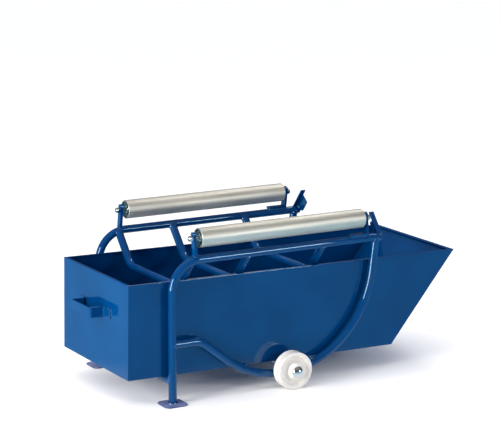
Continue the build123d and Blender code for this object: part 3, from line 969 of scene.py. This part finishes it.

# %% [markdown]
# ## The floor
# The cradle stands on a wide sheet of white paper. Most of the white is the paper's own colour. More lamps
# could make it whiter, but they would bleach the cradle too. So rays that look straight at the background
# get a little extra, and the paper stays white where the lamps fall off. Under the cradle the extra fades
# out, which is painted shade that keeps the shadow there deep, and what is left is a faint painted blue
# glow in place of light thrown back by the enamel.

# %% Floor
FLOOR_HALF = 14.0
FLOOR_COLOUR = (0.92, 0.89, 0.86, 1)
OPEN_LIFT = (0.17, 0.17, 0.17)
# Painted shade under the cradle: the extra fades to a faint painted blue glow there.
SHADE_LIFT = (0.0, 0.008, 0.025)
SHADE_REACH = (0.95, 0.34, 1.0)


def seen_directly(tree):
    """1 for rays that show the background: from the camera, in gloss or through glass."""
    path = tree.nodes.new("ShaderNodeLightPath")
    total = path.outputs["Is Camera Ray"]
    for kind in ("Is Glossy Ray", "Is Transmission Ray"):
        either = tree.nodes.new("ShaderNodeMath")
        either.operation = "MAXIMUM"
        tree.links.new(total, either.inputs[0])
        tree.links.new(path.outputs[kind], either.inputs[1])
        total = either.outputs["Value"]
    return total


def ground(name, level):
    """A wide level sheet that belongs to the studio."""
    corners = [(x * FLOOR_HALF, y * FLOOR_HALF, level) for x, y in ((-1, -1), (1, -1), (1, 1), (-1, 1))]
    mesh = bpy.data.meshes.new(name)
    mesh.from_pydata(corners, [], [(0, 1, 2, 3)])
    sheet = bpy.data.objects.new(name, mesh)
    bpy.context.scene.collection.objects.link(sheet)
    sheet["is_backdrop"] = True
    return sheet


floor = ground("floor", 0)
paper = Finish("paper")
paper.set(Base_Color=FLOOR_COLOUR, Roughness=0.9, Specular_IOR_Level=0.0)
# The extra light is cut back in an oval under the cradle: painted shade with a faint painted blue glow.
lift = paper.ramp(paper.oval(SHADE_REACH), (PATTERN_LOW, OPEN_LIFT), (PATTERN_HIGH, SHADE_LIFT))
paper.link(lift, paper.shader, "Emission Color")
paper.link(seen_directly(paper.tree), paper.shader, "Emission Strength")
floor.data.materials.append(paper.material)
print("paper floor", 2 * FLOOR_HALF, "m wide")

# %% [markdown]
# ## What the enamel mirrors
# Gloss shows whatever stands in front of it, and enamel that mirrored white paper as far as the horizon
# would look milky. Darker paper would show in the picture, so a dim blue sheet lies a millimetre above it,
# clear in a soft oval around the cradle. Only reflections see the sheet; the camera, the lamps and the
# shadows pass through. It is bright enough for the front wall to show the handle's mirror image against it.

# %% Dim surround
SURROUND_LEVEL = 0.001
POOL_REACH = (1.35, 0.85, 1.0)
DUSK_BLUE = (0.24, 0.5, 0.7, 1)

surround = ground("surround", SURROUND_LEVEL)
for kind in ("camera", "diffuse", "shadow", "transmission"):
    setattr(surround, f"visible_{kind}", False)
dusk = Finish("dusk")
dusk.set(Base_Color=(0, 0, 0, 1), Specular_IOR_Level=0.0, Emission_Color=DUSK_BLUE, Emission_Strength=1.0)
dusk.link(dusk.spread(dusk.oval(POOL_REACH), low=1.0, high=0.0), dusk.shader, "Alpha")
surround.data.materials.append(dusk.material)
print("clear oval", [2 * reach for reach in POOL_REACH[:2]], "m")

# %% [markdown]
# ## The room
# The room meets the paper in white at the horizon and is dark higher up, so that bare metal has something
# dark to show and the blue stays deep. A plain grey world would be simpler, but metal would look flat in it.
# What light the room itself gives is faint and bluish, and it colours the shadows.

# %% World
WORLD_FILL = (0.13, 0.19, 0.33, 1)
SKY_STOPS = ((0.5, 1.0), (0.53, 0.06), (0.75, 0.12), (1.0, 0.3))

world = bpy.data.worlds.new("studio")
bpy.context.scene.world = world
world.use_nodes = True
air = world.node_tree
gaze = air.nodes.new("ShaderNodeTexCoord").outputs["Generated"]
sky = colour_ramp(air, rise(air, gaze), [(height, (grey, grey, grey)) for height, grey in SKY_STOPS])
choose = air.nodes.new("ShaderNodeMix")
choose.data_type = "RGBA"
choose.inputs["A"].default_value = WORLD_FILL
air.links.new(sky, choose.inputs["B"])
air.links.new(seen_directly(air), choose.inputs["Factor"])
air.links.new(choose.outputs["Result"], air.nodes["Background"].inputs["Color"])
print("sky shades", len(SKY_STOPS), "from", SKY_STOPS[0][1], "to", SKY_STOPS[-1][1])

# %% [markdown]
# ## The lamps
# A single small lamp would cast hard shadows, so a wide soft light from above does most of the work. It is
# kept out of reflections, where it would show as a patch. A tall softbox at the handle end brightens the
# front wall and draws the line down the rockers. One to the right of the camera draws the lines along the
# rails, and one overhead lights the tops of the rollers.

# %% Lamps
AIM = Vector((0.0, 0.0, 0.28))
CEILING_PLACE = (-0.5, 0.7, 3.0)
CEILING_COLOUR = (1.0, 0.97, 0.92)
CEILING_STRENGTH = 2.5
CEILING_SPREAD = radians(95)


def hang(light, place):
    """Puts a light in the studio, turned towards the cradle."""
    lamp = bpy.data.objects.new(light.name, light)
    bpy.context.scene.collection.objects.link(lamp)
    lamp.location = place
    lamp.rotation_euler = (AIM - Vector(place)).to_track_quat("-Z", "Y").to_euler()
    return lamp


def softbox(name, place, width, height, watts):
    light = bpy.data.lights.new(name, "AREA")
    light.shape = "RECTANGLE"
    light.size = width
    light.size_y = height
    light.energy = watts
    hang(light, place)


ceiling = bpy.data.lights.new("ceiling", "SUN")
ceiling.energy = CEILING_STRENGTH
ceiling.color = CEILING_COLOUR
ceiling.angle = CEILING_SPREAD
hang(ceiling, CEILING_PLACE).visible_glossy = False
softbox("handle_end", (-3.2, -0.75, 0.9), width=1.0, height=1.6, watts=102)
softbox("camera_side", (1.61, -3.35, 1.2), width=0.8, height=0.4, watts=35)
softbox("overhead", (1.5, 0.75, 3.0), width=1.2, height=0.8, watts=22)
print("lights", len(bpy.data.lights))

# %% [markdown]
# ## Sizes
# The dressed cradle has to stay the size of the imported model, so its box is measured.

# %% Measure the dressed cradle
low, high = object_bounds()
